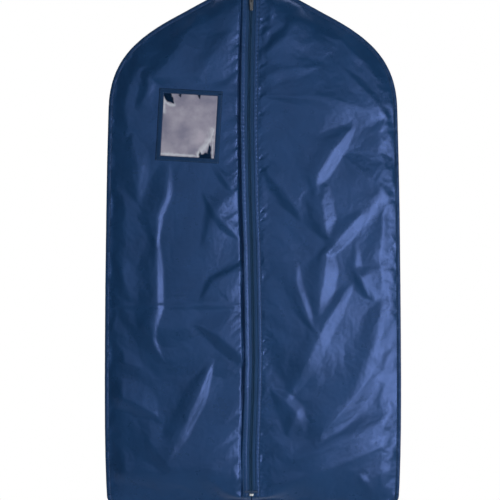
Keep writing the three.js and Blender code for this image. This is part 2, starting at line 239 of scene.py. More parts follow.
FOLDS_RIGHT = (
    (((0.210, -0.284), (0.162, -0.342), (0.132, -0.390), (0.128, -0.440)), 0.045, 0.026, 0.0050),
    (((0.150, -0.400), (0.142, -0.445), (0.154, -0.525)), 0.045, 0.026, 0.0049),
    (((0.230, -0.462), (0.185, -0.510), (0.148, -0.556)), 0.035, 0.024, 0.0047),
    (((0.152, -0.530), (0.150, -0.575), (0.132, -0.685)), 0.045, 0.030, 0.0056),
    (((0.208, -0.604), (0.150, -0.690), (0.112, -0.770), (0.064, -0.860)), 0.040, 0.028, 0.0055),
    (((0.090, -0.565), (0.090, -0.610), (0.124, -0.706)), 0.030, 0.013, 0.0024),
    (((0.036, -0.825), (0.066, -0.848), (0.090, -0.876), (0.070, -0.930)), 0.036, 0.020, 0.0038),
    (((0.275, -0.738), (0.240, -0.804), (0.186, -0.868), (0.118, -0.945)), 0.085, 0.034, 0.0056),
    (((0.212, -0.530), (0.212, -0.580), (0.240, -0.645)), 0.026, 0.013, 0.0028),
    (((0.170, -0.095), (0.235, -0.158), (0.292, -0.219)), 0.020, 0.012, 0.0031),
    (((0.180, -0.165), (0.240, -0.225), (0.290, -0.287)), 0.024, 0.013, 0.0034),
    (((0.046, -0.010), (0.042, -0.050), (0.034, -0.085)), 0.018, 0.011, 0.0024),
    (((0.030, -0.080), (0.026, -0.100), (0.018, -0.130)), 0.014, 0.010, 0.0020),
    (((0.278, -0.430), (0.274, -0.480), (0.258, -0.560), (0.270, -0.640)), 0.040, 0.024, 0.0034),
    (((0.268, -0.640), (0.256, -0.700), (0.262, -0.760), (0.272, -0.800)), 0.040, 0.024, 0.0034),
    (((0.215, -1.000), (0.240, -1.030), (0.252, -1.050)), 0.018, 0.012, 0.0032),
    (((0.330, -0.870), (0.190, -0.935), (0.060, -0.985)), 0.040, 0.060, 0.0060),
    (((0.330, -0.920), (0.190, -0.978), (0.100, -1.010), (0.010, -1.036)), 0.034, 0.044, 0.0052),
    (((0.115, -0.035), (0.070, -0.105), (0.016, -0.156)), 0.028, 0.060, 0.0050),
    (((-0.010, -0.200), (0.060, -0.172), (0.140, -0.165)), 0.026, 0.040, 0.0028),
    (((0.020, -0.228), (0.130, -0.224), (0.310, -0.275)), 0.030, 0.060, 0.0036),
    (((0.010, -0.360), (0.060, -0.410), (0.100, -0.480)), 0.030, 0.050, 0.0036),
    (((0.180, -0.345), (0.224, -0.380), (0.300, -0.450)), 0.030, 0.040, 0.0044),
    (((0.205, -0.580), (0.228, -0.605), (0.254, -0.650)), 0.020, 0.040, 0.0040),
)
FOLDS_LEFT = (
    (((-0.172, -0.350), (-0.178, -0.430), (-0.195, -0.470), (-0.197, -0.540)), 0.045, 0.015, 0.0039),
    (
        ((-0.197, -0.500), (-0.196, -0.660), (-0.208, -0.700), (-0.204, -0.730), (-0.182, -0.775)),
        0.050, 0.016, 0.0048,
    ),
    (((-0.082, -0.768), (-0.112, -0.840), (-0.148, -0.912), (-0.184, -0.992)), 0.040, 0.022, 0.0066),
    (((-0.262, -0.130), (-0.280, -0.210)), 0.030, 0.014, 0.0033),
    (((-0.124, -0.690), (-0.066, -0.718), (0.050, -0.815)), 0.027, 0.080, 0.0090),
    (((-0.240, -0.690), (-0.170, -0.698), (-0.095, -0.692)), 0.045, 0.060, 0.0044),
    (((0.060, -0.560), (-0.030, -0.588), (-0.080, -0.612), (-0.110, -0.656)), 0.026, 0.055, 0.0050),
    (((-0.320, -0.832), (-0.245, -0.850), (-0.190, -0.885)), 0.030, 0.050, 0.0058),
    (((-0.285, -0.768), (-0.225, -0.784)), 0.014, 0.030, 0.0022),
    (((-0.222, -0.925), (-0.192, -0.955), (-0.160, -1.000)), 0.026, 0.045, 0.0040),
    (((-0.320, -1.010), (-0.190, -0.982), (-0.100, -0.988), (0.060, -1.020)), 0.054, 0.100, 0.0092),
    (((-0.040, -0.985), (-0.032, -1.010), (-0.036, -1.050)), 0.016, 0.010, 0.0024),
    (((-0.098, -0.040), (-0.150, -0.118), (-0.200, -0.192), (-0.240, -0.265)), 0.036, 0.055, 0.0046),
    (((-0.036, -0.085), (-0.086, -0.150), (-0.120, -0.205)), 0.032, 0.050, 0.0036),
    (((-0.250, -0.300), (-0.232, -0.370), (-0.238, -0.450)), 0.040, 0.024, 0.0036),
    (((-0.095, -0.335), (-0.066, -0.380), (-0.030, -0.436)), 0.016, 0.022, 0.0034),
    (((-0.105, -0.420), (-0.072, -0.470), (-0.020, -0.526)), 0.018, 0.026, 0.0040),
    (((0.030, -0.380), (-0.060, -0.440), (-0.105, -0.540)), 0.030, 0.060, 0.0030),
    (((-0.290, -0.560), (-0.262, -0.600), (-0.250, -0.650)), 0.030, 0.040, 0.0030),
)
HIGHEST_FOLD = 0.010
CREASE_Z = -0.657
CREASE_HEIGHT = 0.0012


def ridge(points, path, left, right, height):
    """A fold whose right flank is flat and whose left flank is rounded. It narrows to both ends."""
    distance, side, along = line_distance(points, resampled(np.array(path), 0.008))
    taper = 0.32 + 0.68 * smooth(along, 0, 0.36) * smooth(1 - along, 0, 0.36)
    s = np.clip(distance / (np.where(side > 0, right, left) * taper), 0, 1)
    soft = 0.5 + 0.5 * np.cos(math.pi * s)
    flat = np.where(s < 0.7, 1 - s / 0.85, (1 - s) ** 2 / 0.51)
    flank = np.where(side > 0, flat, soft)
    ends = smooth(along, 0, 0.12) * smooth(1 - along, 0, 0.12)
    return height * flank * taper * ends


def fold_scale(x):
    """The front slopes down to both sides, so a fold needs less height on the right to face the same way."""
    return 1 - 0.45 * smooth(x, 0.12, 0.27) + 0.12 * smooth(-x, 0.08, 0.22)


def zip_puckers(points, side):
    """Short slanting folds that run into the zip's seam, here and there along it."""
    away = np.clip(np.abs(points[:, 0] - zip_x(points[:, 1])) - FLAT, 0, 1)
    slanted = points[:, 1] - side * 0.75 * away
    row = np.stack([np.zeros(len(points)), slanted], axis=1)
    wide = wave_noise(row, 0.024, 11.3 + side)
    fine = wave_noise(row, 0.010, 23.6 + side)
    patchy = 0.35 + 0.65 * smooth(wave_noise(row, 0.09, 31.2 + side), -0.2, 0.5)
    broad, short, deep = (0.0022, 0.0018, 0.0012) if side < 0 else (0.0038, 0.0026, 0.0020)
    soft = broad * wide * np.exp(-away / 0.024) + short * fine * np.exp(-away / 0.011)
    ticks = deep * smooth(fine, 0.12, 0.42) * np.exp(-((away / 0.020) ** 2))
    return patchy * soft - ticks


def gathers(z, side):
    """Small gathers between the stitches beside the zip."""
    beat = np.sin(2 * math.pi * z / 0.0088 + 2 * noise_along(z, 0.05, 3.3 + side))
    return 0.00020 * beat + 0.0003 * noise_along(z, 0.012, 6.6 + side)


def edge_puckers(points, distance):
    """Small gathers that the topstitching leaves along the edge seam."""
    fine = wave_noise(points, 0.011, 41.4)
    wide = wave_noise(points, 0.030, 47.2)
    return 0.0016 * fine * np.exp(-distance / 0.009) + 0.0026 * wide * np.exp(-distance / 0.022)


def undulation(points, seed):
    """The cloth's own slow unevenness."""
    return 0.0019 * wave_noise(points, (0.11, 0.17), seed) + 0.0006 * wave_noise(points, 0.045, seed + 4)


# Window for an identification card, on the left half of the front

WINDOW_TILT = math.radians(3.3)
window_low, window_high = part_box("id_window_film")
WINDOW_CENTRE = np.array([(window_low.x + window_high.x) / 2, (window_low.z + window_high.z) / 2])
FILM_SIZE = (0.122, 0.140)
CLEAR_SIZE = (0.110, 0.128)
BINDING_WIDTH = 0.010
WINDOW_ARM = (np.array(CLEAR_SIZE) + BINDING_WIDTH) / 2


def window_point(across, down):
    """Place in the bag's plane of a point of the window, measured right and down from its middle."""
    c, s = math.cos(WINDOW_TILT), math.sin(WINDOW_TILT)
    x = WINDOW_CENTRE[0] + across * c - down * s
    z = WINDOW_CENTRE[1] - across * s - down * c
    return np.stack([x, z], axis=-1)


def in_window(points):
    """From 0 well outside the window to 1 inside it."""
    away = points - WINDOW_CENTRE
    c, s = math.cos(WINDOW_TILT), math.sin(WINDOW_TILT)
    across = np.abs(away[:, 0] * c - away[:, 1] * s)
    down = np.abs(away[:, 0] * s + away[:, 1] * c)
    outside = np.maximum(across - FILM_SIZE[0] / 2, down - FILM_SIZE[1] / 2)
    return 1 - smooth(outside, 0.002, 0.030)


# Materials

COOL_GLOSS = (0.28, 0.42, 1.0, 1)
COOL_SHEEN = (0.35, 0.5, 1.0, 1)


def set_inputs(node, **values):
    for name, value in values.items():
        node.inputs[name.replace("_", " ")].default_value = value


class Look:
    """A material, with short ways to add the nodes that shape it."""

    def __init__(self, name):
        self.material = bpy.data.materials.new(name)
        self.material.use_nodes = True
        self.nodes = self.material.node_tree.nodes
        self.shader = self.nodes["Principled BSDF"]
        self.place = self.nodes.new("ShaderNodeTexCoord").outputs["Object"]

    def link(self, source, socket):
        self.material.node_tree.links.new(source, socket)

    def drive(self, socket, source):
        """Lets a node's output set a socket of the shader."""
        self.link(source, self.shader.inputs[socket])

    def texture(self, kind, **values):
        node = self.nodes.new(kind)
        set_inputs(node, **values)
        self.link(self.place, node.inputs["Vector"])
        return node

    def noise(self, scale, detail=3):
        return self.texture("ShaderNodeTexNoise", Scale=scale, Detail=detail).outputs["Fac"]

    def bands(self, period, direction):
        """Even bands across an axis, with this period in metres."""
        node = self.texture("ShaderNodeTexWave", Scale=math.pi / 10 / period)
        node.bands_direction = direction
        return node.outputs["Fac"]

    def attribute(self, name):
        node = self.nodes.new("ShaderNodeAttribute")
        node.attribute_name = name
        return node.outputs["Fac"]

    def math(self, operation, *operands):
        node = self.nodes.new("ShaderNodeMath")
        node.operation = operation
        for socket, value in zip(node.inputs, operands):
            if isinstance(value, (int, float)):
                socket.default_value = value
            else:
                self.link(value, socket)
        return node.outputs["Value"]

    def ramp(self, value, *stops):
        node = self.nodes.new("ShaderNodeValToRGB")
        for element, (position, colour) in zip(node.color_ramp.elements, stops):
            element.position = position
            element.color = (*colour, 1)
        self.link(value, node.inputs["Fac"])
        return node.outputs["Color"]

    def mixed(self, share, first, second):
        """A colour that goes from first to second, which is plain numbers."""
        node = self.nodes.new("ShaderNodeMix")
        node.data_type = "RGBA"
        self.link(share, node.inputs["Factor"])
        colours = [socket for socket in node.inputs if socket.type == "RGBA"]
        self.link(first, colours[0])
        colours[1].default_value = (*second, 1)
        return next(socket for socket in node.outputs if socket.type == "RGBA")

    def bump(self, height, distance, strength, before=None):
        node = self.nodes.new("ShaderNodeBump")
        set_inputs(node, Strength=strength, Distance=distance)
        self.link(height, node.inputs["Height"])
        if before:
            self.link(before, node.inputs["Normal"])
        return node.outputs["Normal"]

    def finished(self, colour, normal=None, **values):
        """The material with this colour and normal, and plain values for other sockets."""
        self.drive("Base Color", colour)
        if normal:
            self.drive("Normal", normal)
        set_inputs(self.shader, **values)
        return self.material


def cloth_material(name, dark, light, roughness, weave, gloss, sheen=0.1, wrinkle=0.22):
    """A woven cloth: slow mottling, a weave of crossed threads, and small soft wrinkles."""
    look = Look(name)
    look.drive("Roughness", look.math("MULTIPLY_ADD", look.noise(40, 4), 0.12, roughness - 0.06))
    threads = look.math("MULTIPLY", look.bands(weave, "X"), look.bands(weave, "Z"))
    creases = look.bump(look.noise(75, 4), 0.0006, wrinkle)
    return look.finished(
        look.ramp(look.noise(18, 6), (0.35, dark), (0.66, light)),
        look.bump(threads, 0.00004, 0.6, creases),
        Specular_IOR_Level=gloss, Specular_Tint=COOL_GLOSS,
        Sheen_Weight=sheen, Sheen_Roughness=0.4, Sheen_Tint=COOL_SHEEN,
    )


def thread_material(name, dark, light):
    look = Look(name)
    colour = look.ramp(look.noise(900, 2), (0.3, dark), (0.7, light))
    return look.finished(colour, look.bump(look.bands(0.0006, "DIAGONAL"), 0.0001, 0.5), Roughness=0.5)


def coil_material(name, dark, light):
    look = Look(name)
    colour = look.ramp(look.noise(300, 2), (0.3, dark), (0.7, light))
    grain = look.bump(look.noise(1500, 2), 0.0001, 0.2)
    return look.finished(colour, grain, Roughness=0.4, Specular_Tint=COOL_GLOSS)


def metal_material(name, colour, roughness):
    """Metal with fine wear."""
    look = Look(name)
    darker = tuple(0.82 * part for part in colour)
    look.drive("Roughness", look.math("MULTIPLY_ADD", look.noise(1400, 3), 0.16, roughness - 0.05))
    worn = look.ramp(look.noise(420, 5), (0.35, darker), (0.65, colour))
    return look.finished(worn, look.bump(look.noise(2200, 3), 0.00005, 0.25), Metallic=1.0)


def vinyl_material(name):
    """Clear film: milky haze with painted reflection, painted highlights where taut, painted shade where it
    clings.
    """
    look = Look(name)
    cling_and_painted_shade = look.attribute("cling_and_painted_shade")
    bloom = look.noise(26, 5)
    # The pale lavender of this ramp is partly the film's own milky haze and partly a painted reflection of
    # the lamps.
    milk_and_painted_reflection = look.ramp(bloom, (0.32, (0.36, 0.34, 0.46)), (0.68, (0.60, 0.55, 0.66)))
    # Along the taut lines the colour goes to near white: a painted highlight.
    milk_and_painted_reflection = look.mixed(look.attribute("painted_shine"), milk_and_painted_reflection, (0.86, 0.87, 0.96))
    look.drive("Specular IOR Level", look.math("MULTIPLY", look.math("SUBTRACT", 1.0, cling_and_painted_shade), 0.5))
    look.drive("Alpha", look.math("MULTIPLY_ADD", bloom, 0.25, 0.64))
    # Where the film clings, its colour goes to a dark navy that is darker than the cloth itself: painted
    # shade.
    colour = look.mixed(cling_and_painted_shade, milk_and_painted_reflection, (0.004, 0.018, 0.048))
    return look.finished(colour, look.bump(look.noise(60, 3), 0.0006, 0.35), Roughness=0.20)


MATERIALS = {
    "nylon": cloth_material(
        "navy_nylon", (0.0078, 0.0400, 0.110), (0.0100, 0.0480, 0.132), 0.29, 0.0007, 0.90, 0.1, 0.12
    ),
    "seam": cloth_material(
        "seam_nylon", (0.0080, 0.0340, 0.090), (0.0100, 0.0410, 0.108), 0.42, 0.0007, 0.6
    ),
    "binding": cloth_material(
        "binding_nylon", (0.0070, 0.0320, 0.082), (0.0095, 0.0390, 0.100), 0.48, 0.0009, 0.5
    ),
    "zip_tape": cloth_material(
        "tape_weave", (0.0100, 0.0420, 0.105), (0.0130, 0.0520, 0.130), 0.55, 0.0011, 0.5, 0.3
    ),
    "thread": thread_material("navy_thread", (0.018, 0.052, 0.130), (0.032, 0.082, 0.190)),
    "zip_coil": coil_material("navy_coil", (0.018, 0.066, 0.140), (0.024, 0.082, 0.172)),
    "slider": metal_material("bright_nickel", (0.13, 0.13, 0.14), 0.24),
    "stops": metal_material("bright_aluminium", (0.86, 0.86, 0.86), 0.34),
    "vinyl": vinyl_material("window_vinyl"),
}


# Meshes


def mesh_object(name, vertices, faces):
    mesh = bpy.data.meshes.new(name)
    mesh.from_pydata(np.asarray(vertices, float).tolist(), [], [list(map(int, f)) for f in faces])
    mesh.update()
    made = bpy.data.objects.new(name, mesh)
    bpy.context.scene.collection.objects.link(made)
    return made


def outward(piece):
    """Makes every face of a closed body point out of it."""
    work = bmesh.new()
    work.from_mesh(piece.data)
    bmesh.ops.recalc_face_normals(work, faces=work.faces)
    work.to_mesh(piece.data)
    work.free()
    return piece


def swept(name, rings):
    """A closed body through rings of points, with its two ends filled and its faces outward."""
    rings = np.asarray(rings, float)
    count, size = rings.shape[:2]
    faces = [
        (r * size + k, r * size + (k + 1) % size, (r + 1) * size + (k + 1) % size, (r + 1) * size + k)
        for r in range(count - 1)
        for k in range(size)
    ]
    faces.append(tuple(range(size))[::-1])
    faces.append(tuple((count - 1) * size + k for k in range(size)))
    return outward(mesh_object(name, rings.reshape(-1, 3), faces))


def grid_sheet(name, points):
    """An open sheet through rows of points."""
    rows, columns = points.shape[:2]
    faces = [
        (r * columns + k, r * columns + k + 1, (r + 1) * columns + k + 1, (r + 1) * columns + k)
        for r in range(rows - 1)
        for k in range(columns - 1)
    ]
    return mesh_object(name, points.reshape(-1, 3), faces)


def facing(piece, direction):
    """Turns a sheet over if most of it faces away from direction."""
    normals = np.zeros(len(piece.data.polygons) * 3)
    piece.data.polygons.foreach_get("normal", normals)
    if (normals.reshape(-1, 3) @ np.array(direction)).sum() < 0:
        piece.data.flip_normals()


def finish_piece(piece, slot, *nodes, body="bag"):
    """Gives a piece its material and body. It takes the place of these CAD nodes."""
    piece.data.materials.clear()
    piece.data.materials.append(MATERIALS[slot])
    piece.data.shade_smooth()
    if nodes:
        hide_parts(*nodes)
    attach(piece, body)
    return piece


STITCH_PITCH = 0.0052
STITCH_LENGTH = 0.0037
THREAD = 0.00050
STITCH_SIDES = 6
STITCH_RINGS = ((-1.0, 0.35, 1.0), (-0.7, 0.85, 0.5), (0.0, 1.0, 0.0), (0.7, 0.85, 0.5), (1.0, 0.35, 1.0))


def stitches(name, centres, along, out, length, radius):
    """Thread that shows as a row of short rounded stitches, whose ends go into the cloth."""
    centres, along, out = (np.asarray(a, float) for a in (centres, along, out))
    across = np.cross(along, out)
    angles = np.arange(STITCH_SIDES) * 2 * math.pi / STITCH_SIDES
    vertices = np.zeros((len(centres), len(STITCH_RINGS), STITCH_SIDES, 3))
    for r, (place, width, sink) in enumerate(STITCH_RINGS):
        middle = centres + along * place * length / 2 - out * sink * radius * 0.9
        for k, angle in enumerate(angles):
            turn = across * math.cos(angle) + out * math.sin(angle)
            vertices[:, r, k] = middle + turn * radius * width
    size = len(STITCH_RINGS) * STITCH_SIDES
    faces = []
    for first in range(0, len(centres) * size, size):
        for r in range(len(STITCH_RINGS) - 1):
            low = first + r * STITCH_SIDES
            for k in range(STITCH_SIDES):
                after = (k + 1) % STITCH_SIDES
                faces.append((low + k, low + after, low + STITCH_SIDES + after, low + STITCH_SIDES + k))
        faces.append([first + k for k in range(STITCH_SIDES)][::-1])
        faces.append([first + size - STITCH_SIDES + k for k in range(STITCH_SIDES)])
    return outward(mesh_object(name, vertices.reshape(-1, 3), faces))


def stitch_row(line, out, pitch):
    """Centres, directions and outward directions of stitches along a line of points in space."""
    middle = resampled(line, pitch)
    return middle, directions(middle), np.broadcast_to(out, middle.shape)


def joined_rows(rows):
    return [np.concatenate(parts) for parts in zip(*rows)]


def sewn(name, rows, length=STITCH_LENGTH, radius=THREAD):
    """Rows of stitches as one piece of thread."""
    return finish_piece(stitches(name, *joined_rows(rows), length, radius), "thread")


# Panels


def stitched_edge(step):
    """The seam's stitch line, run on upwards to the height of the neck."""
    seam = resampled(STITCH_LINE, step)
    slope = (seam[1, 0] - seam[0, 0]) / (seam[1, 1] - seam[0, 1])
    top = np.array([[seam[0, 0] - slope * seam[0, 1], 0.0]])
    return np.concatenate([top, seam])


def panel_outline(side):
    """Closed outline of one front half: the zip's fold, then the stitched line back up to the neck."""
    edge_z = np.linspace(0, HEM_STITCH, round(-HEM_STITCH / 0.0025) + 1)
    edge_x = side * (zip_x(edge_z) + side * FOLD)
    seam = stitched_edge(PANEL_STEP)
    seam = seam[seam[:, 0] > edge_x[-1] + PANEL_STEP / 2]
    loop = np.concatenate([np.stack([edge_x, edge_z], axis=1), seam[::-1]])
    return loop * (side, 1)


STRIP_COLUMNS = (0.0090, 0.0105, 0.0135, 0.0163, FLAT, 0.0192, 0.0210, 0.0240)
LATTICE_FROM = 0.0268


def strip_columns(side):
    """Extra points in columns beside the zip, where the cloth bends most sharply."""
    heights = np.arange(-0.003, HEM_STITCH + 0.003, -0.0025)
    return np.concatenate(
        [
            np.stack([zip_x(heights) + side * u, heights], axis=1)
            for u in STRIP_COLUMNS
        ]
    )


def back_outline():
    seam = stitched_edge(BACK_STEP)
    top = np.array([[x, 0.0] for x in np.linspace(-seam[0, 0], seam[0, 0], 9)])
    right = seam[1:][seam[1:, 0] > 0]
    return np.concatenate([top, right, (right * (-1, 1))[::-1]])


def inside(points, loop):
    """Which points are inside a closed loop."""
    x, z = points[:, 0], points[:, 1]
    found = np.zeros(len(points), bool)
    for (x0, z0), (x1, z1) in zip(loop, np.roll(loop, -1, axis=0)):
        crosses = (z0 > z) != (z1 > z)
        if z0 != z1:
            found ^= crosses & (x < x0 + (z - z0) / (z1 - z0) * (x1 - x0))
    return found


def enclosed_area(loop):
    x, z = loop.T
    return abs(np.dot(x, np.roll(z, -1)) - np.dot(z, np.roll(x, -1))) / 2


def triangulated(loop, step, columns=None):
    """Points and faces of an even triangle mesh inside the loop, and which points are on the loop."""
    low, high = loop.min(axis=0), loop.max(axis=0)
    rows = np.arange(low[1], high[1], step * math.sqrt(0.75))
    lattice = np.array(
        [
            (x, z)
            for k, z in enumerate(rows)
            for x in np.arange(low[0] + step / 2 * (k % 2), high[0], step)
        ]
    )
    if columns is not None:
        middle = np.abs(lattice[:, 0] - zip_x(lattice[:, 1]))
        lattice = np.concatenate([columns, lattice[middle > LATTICE_FROM]])
    lattice = lattice[inside(lattice, loop)]
    distance = line_distance(lattice, np.concatenate([loop, loop[:1]]))[0]
    middle = np.abs(lattice[:, 0] - zip_x(lattice[:, 1]))
    in_columns = middle < STRIP_COLUMNS[-1] + 0.001
    lattice = lattice[(distance > 0.6 * step) | (in_columns & (distance > 0.0004))]
    points = np.concatenate([loop, lattice])
    edges = [(k, (k + 1) % len(loop)) for k in range(len(loop))]
    _, _, faces, source, _, _ = delaunay_2d_cdt([Vector(p) for p in points], edges, [], 1, 1e-6)
    order = [s[0] for s in source]
    return points[order], faces, np.array(order) < len(loop)


def side_rise(points, border, rolled):
    """From 0 at the stitched edge to 1 on the flat of the bag, and the distance from the stitched line.

    The share called rolled is gained within EDGE_ROLL of the edge, and the rest over the whole border."""
    folded = np.abs(points * (1, -1)) * (1, -1)
    seam = resampled(STITCH_LINE, 0.006)
    distance = line_distance(folded, seam)[0]
    upright = seam[seam[:, 1] > HEM_STITCH + 0.012]
    from_side = line_distance(folded, upright)[0]
    at_zip = np.stack([np.full(len(points), 0.012), points[:, 1]], axis=1)
    room = line_distance(at_zip, upright)[0]
    near_zip = smooth(np.abs(points[:, 0] - ZIP_X), 0.02, 0.12)
    hem_border = 0.011 + 0.055 * near_zip
    side = sum(
        share * np.sin(np.clip(from_side / np.clip(room, 0.004, reach), 0, 1) * math.pi / 2)
        for share, reach in ((rolled, EDGE_ROLL), (1 - rolled, border))
    )
    hem = np.sin(np.clip((points[:, 1] - HEM_STITCH) / hem_border, 0, 1) * math.pi / 2)
    return side * hem, distance


CLOTH_FRAMES = 30
FRONT_GROWTH = 0.0011
BACK_GROWTH = 0.003
CLOTH_SETTINGS = {
    "quality": 5,
    "mass": 0.02,
    "tension_stiffness": 30,
    "compression_stiffness": 30,
    "shear_stiffness": 10,
    "bending_stiffness": 2.0,
    "tension_damping": 8,
    "compression_damping": 8,
    "bending_damping": 2,
    "air_damping": 3,
    "use_pressure": True,
    "uniform_pressure_force": 0.06,
}


def settle(piece, pinned, growth):
    """Lets the cloth find its own creases: it grows a little, is held where it is sewn, and hangs."""
    group = piece.vertex_groups.new(name="sewn")
    group.add([int(k) for k in np.flatnonzero(pinned)], 1.0, "REPLACE")
    cloth = piece.modifiers.new("Cloth", "CLOTH")
    for name, value in CLOTH_SETTINGS.items():
        setattr(cloth.settings, name, value)
    cloth.settings.vertex_group_mass = group.name
    cloth.settings.shrink_min = -growth
    cloth.settings.effector_weights.gravity = 0.25
    cloth.collision_settings.use_collision = False
    cloth.point_cache.frame_start = 1
    cloth.point_cache.frame_end = CLOTH_FRAMES
    scene = bpy.context.scene
    for number in range(1, CLOTH_FRAMES + 1):
        scene.frame_set(number)
    graph = bpy.context.evaluated_depsgraph_get()
    settled = bpy.data.meshes.new_from_object(piece.evaluated_get(graph))
    piece.modifiers.remove(cloth)
    piece.vertex_groups.clear()
    piece.data = settled
    scene.frame_set(1)
    subdivision = piece.modifiers.new("Subdivision", "SUBSURF")
    subdivision.levels = 1
    subdivision.render_levels = 1


def zip_drop(points):
    """How far the left half's cloth falls back beside the zip, where its fold hangs open."""
    heights = (-1.04, -0.88, -0.80, -0.60, -0.45, -0.20, 0.0)
    drops = (0.0035, 0.0040, 0.0075, 0.0065, 0.0080, 0.0055, 0.0045)
    return np.interp(points[:, 1], heights, drops) + 0.0014 * wave_noise(points, 0.08, 77.7)


def front_panel(side, name):
    loop = panel_outline(side)
    points, faces, on_loop = triangulated(loop, PANEL_STEP, strip_columns(side))
    u = np.abs(points[:, 0] - zip_x(points[:, 1]))
    away = np.clip(u - FLAT, 0, 1)
    rise, distance = side_rise(points, BORDER, FRONT_ROLLED)
    window = in_window(points) if side < 0 else np.zeros(len(points))
    folds = sum(ridge(points, *fold) for fold in (FOLDS_LEFT if side < 0 else FOLDS_RIGHT))
    folds *= fold_scale(points[:, 0])
    folds += undulation(points, 60.3 + side)
    lift = folds * smooth(distance, 0, 0.03) * (1 - 0.9 * window)
    lift *= smooth(away, 0, 0.02) if side > 0 else 0.8 + 0.2 * smooth(away, 0, 0.03)
    lift = HIGHEST_FOLD * np.tanh(lift / HIGHEST_FOLD)
    lift += zip_puckers(points, side) * smooth(away, 0, 0.004) * smooth(distance, 0, 0.02)
    lift += edge_puckers(points, distance) * smooth(distance, 0, 0.003)
    if side < 0:
        crease = np.exp(-(((points[:, 1] - CREASE_Z) / 0.0035) ** 2)) * smooth(distance, 0, 0.01)
        lift += CREASE_HEIGHT * crease
        drop = zip_drop(points) * strip_rise(points[:, 1])
        lift -= 0.75 * drop * np.exp(-(((away - 0.0025) / 0.0021) ** 2))
        lift -= drop * np.exp(-away / 0.150) * smooth(-points[:, 1], 0.02, 0.14)
    else:
        lift -= 0.0009 * np.exp(-away / 0.030)
    shell = edge_wave(points) * (1 - rise) - EDGE_LAYER + (FRONT_FACE + EDGE_LAYER) * rise
    free = shell - lift
    strip = strip_face(side, u, points[:, 1]) - 0.0006 * smooth(u, FOLD, FOLD + 0.0008)
    strip -= gathers(points[:, 1], side) * smooth(u, FOLD, 0.012)
    strip += STITCH_DIP * np.exp(-(((u - OUTER_STITCH) / 0.0011) ** 2))
    loose = smooth(u, FLAT, 0.0212 if side < 0 else 0.024)
    y = strip * (1 - loose) + free * loose
    y = np.where(on_loop & (u > FLAT), shell, y)
    panel = mesh_object(f"front_cloth_{name}", np.stack([points[:, 0], y, points[:, 1]], axis=1), faces)
    facing(panel, (0, -1, 0))
    pinned = on_loop | (u < FLAT + 0.0002) | (points[:, 1] > NECK_HEM) | (window > 0.97)
    settle(panel, pinned, FRONT_GROWTH)
    return finish_piece(panel, "nylon", f"front_panel_{name}"), enclosed_area(loop)


def back_panel():
    loop = back_outline()
    points, faces, on_loop = triangulated(loop, BACK_STEP)
    rise, distance = side_rise(points, BACK_BORDER, BACK_ROLLED)
    calm = smooth(distance, 0, 0.03)
    lift = (undulation(points, 81.3) * 1.4 + 0.003 * wave_noise(points, (0.06, 0.4), 91.1)) * calm
    lift += edge_puckers(points, distance) * smooth(distance, 0, 0.003)
    y = edge_wave(points) * (1 - rise) + EDGE_LAYER + (BACK_FACE - EDGE_LAYER) * rise + lift
    panel = mesh_object("back_cloth", np.stack([points[:, 0], y, points[:, 1]], axis=1), faces)
    facing(panel, (0, 1, 0))
    settle(panel, on_loop | (points[:, 1] > NECK_HEM), BACK_GROWTH)
    return finish_piece(panel, "nylon", "back_panel"), enclosed_area(loop)


# Edge seams: the cloth's folded edge, sewn through near its inner side

SEAM_SECTION = (
    (0.0098, 0.0009), (0.0088, 0.0012), (0.0080, 0.0010), (0.0070, 0.0014), (0.0050, 0.0017),
    (0.0030, 0.0017), (0.0014, 0.0014), (0.0004, 0.0008),
)
TOPSTITCH = 0.0080


def seam_rings(line, lengths, side):
    """Rings of the seam's section along a stretch of the outline. At the neck the seam is cut level.

    The two sides of the bag have different waves, but meet at the middle of the hem."""
    inner = inward(line)
    wave = edge_wave(line)
    ripple = 0.0012 * noise_along(lengths, 0.012, 7.7) + 0.0004 * noise_along(lengths, 0.005, 2.2)
    swell = 1 + 0.50 * noise_along(lengths, 0.009, 4.4)
    rings = []
    for point, inside_way, w, r, thick in zip(line, inner, wave, ripple, swell):
        front, back = [], []
        for depth, half in SEAM_SECTION:
            x, z = point + inside_way * depth
            shift = w + r * max(0.0, 1 - depth / TOPSTITCH)
            puff = half * (thick if depth < TOPSTITCH else 1)
            front.append((x, shift - puff, z))
            back.append((x, shift + puff, z))
        x, z = point
        rings.append(front + [(x, w + r, z)] + back[::-1])
    if lengths[0] == 0:
        across, down = directions(line)[0]
        rings[0] = [(x - across * z / down, y, 0.0) for x, y, z in rings[0]]
    rings = np.array(rings)
    if side < 0:
        rings[:, :, 1] += (edge_wave(line * (-1, 1)) - wave)[:, None]
        rings[:, :, 0] *= -1
    return list(rings)


def half_of_outline(low, high):
    """The stretch of the outline between two arc lengths, on the right of the bag."""
    lengths = arc_lengths(OUTLINE)
    kept = (lengths > low - 1e-6) & (lengths < high + 1e-6)
    return OUTLINE[kept], lengths[kept]


def seam_stitches(line, side):
    """Stitches on both faces of a seam."""
    inner = inset(line, TOPSTITCH)
    wave = edge_wave(line * (side, 1))
    rows = []
    for out in (-1, 1):
        y = wave + out * 0.0011
        path = np.stack([inner[:, 0] * side, y, inner[:, 1]], axis=1)
        rows.append(stitch_row(path, (0, out, 0), STITCH_PITCH))
    return joined_rows(rows)


